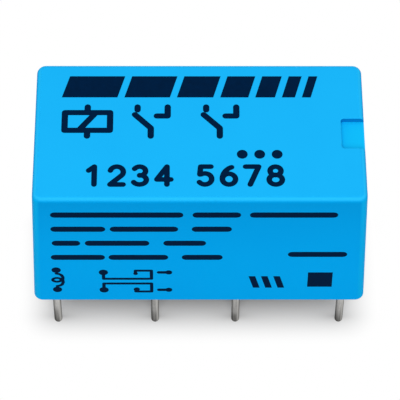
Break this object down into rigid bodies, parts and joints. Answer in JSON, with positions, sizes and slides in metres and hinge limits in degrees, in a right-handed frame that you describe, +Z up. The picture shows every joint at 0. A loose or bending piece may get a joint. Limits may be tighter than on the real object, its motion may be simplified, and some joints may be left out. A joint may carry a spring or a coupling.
{
  "type": "signal relay",
  "caption": "Sealed signal relay for a printed circuit board: moulded case on round pins, with a coil, a rocking armature and changeover contacts inside.",
  "frame": {"origin": "middle of the pattern of pins, on the plane of the case's rim, which sits on the circuit board", "axes": "+X along the case from the coil pins to the contact pins, +Z up, away from the board"},
  "size_m": [0.0202, 0.0108, 0.0149],
  "materials": {
    "cover_plastic": "satin moulded blue",
    "base_plastic": "moulded black",
    "seal_resin": "cast resin",
    "bobbin_plastic": "moulded black",
    "card_plastic": "moulded natural",
    "tape": "polyimide film",
    "tinned_pin": "tin plated",
    "soft_iron": "nickel plated soft iron",
    "bronze": "rolled spring bronze",
    "enamelled_copper": "enamelled copper wire",
    "silver_contact": "silver alloy"
  },
  "bodies": {
    "relay_body": {"cover": "cover_plastic", "base": "base_plastic", "bottom_seal": "seal_resin", "coil_terminal_front": "tinned_pin", "coil_terminal_back": "tinned_pin", "common_terminal_front": "tinned_pin", "common_terminal_back": "tinned_pin", "rest_terminal_front": "tinned_pin", "rest_terminal_back": "tinned_pin", "work_terminal_front": "tinned_pin", "work_terminal_back": "tinned_pin", "bobbin": "bobbin_plastic", "coil_winding": "enamelled_copper", "coil_tape": "tape", "coil_lead_front": "enamelled_copper", "coil_lead_back": "enamelled_copper", "core": "soft_iron", "yoke": "soft_iron", "hinge_spring": "bronze", "rest_contact_front": "silver_contact", "rest_contact_back": "silver_contact", "work_contact_front": "silver_contact", "work_contact_back": "silver_contact"},
    "armature_unit": {"armature": "soft_iron", "residual_shim": "bronze", "actuator_card": "card_plastic"},
    "front_contact_arm": {"contact_spring_front": "bronze", "moving_contacts_front": "silver_contact"},
    "back_contact_arm": {"contact_spring_back": "bronze", "moving_contacts_back": "silver_contact"}
  },
  "joints": [
    {"name": "armature_rock", "type": "hinge", "parent": "relay_body", "child": "armature_unit", "pos_m": [-0.0082, 0, 0.0083], "axis": [0, 1, 0], "range_deg": [0, 1.9], "stiffness_Nm_per_rad": 0.02, "springref_deg": -2.86},
    {"name": "front_contact_swing", "type": "hinge", "parent": "relay_body", "child": "front_contact_arm", "pos_m": [-0.002, -0.00315, 0.00314], "axis": [0, 1, 0], "range_deg": [0, 3.13]},
    {"name": "back_contact_swing", "type": "hinge", "parent": "relay_body", "child": "back_contact_arm", "pos_m": [-0.002, 0.00315, 0.00314], "axis": [0, 1, 0], "range_deg": [0, 3.13]}
  ],
  "couplings": [
    {"joint": "front_contact_swing", "follows": "armature_rock", "ratio": 1.6392},
    {"joint": "back_contact_swing", "follows": "armature_rock", "ratio": 1.6392}
  ]
}
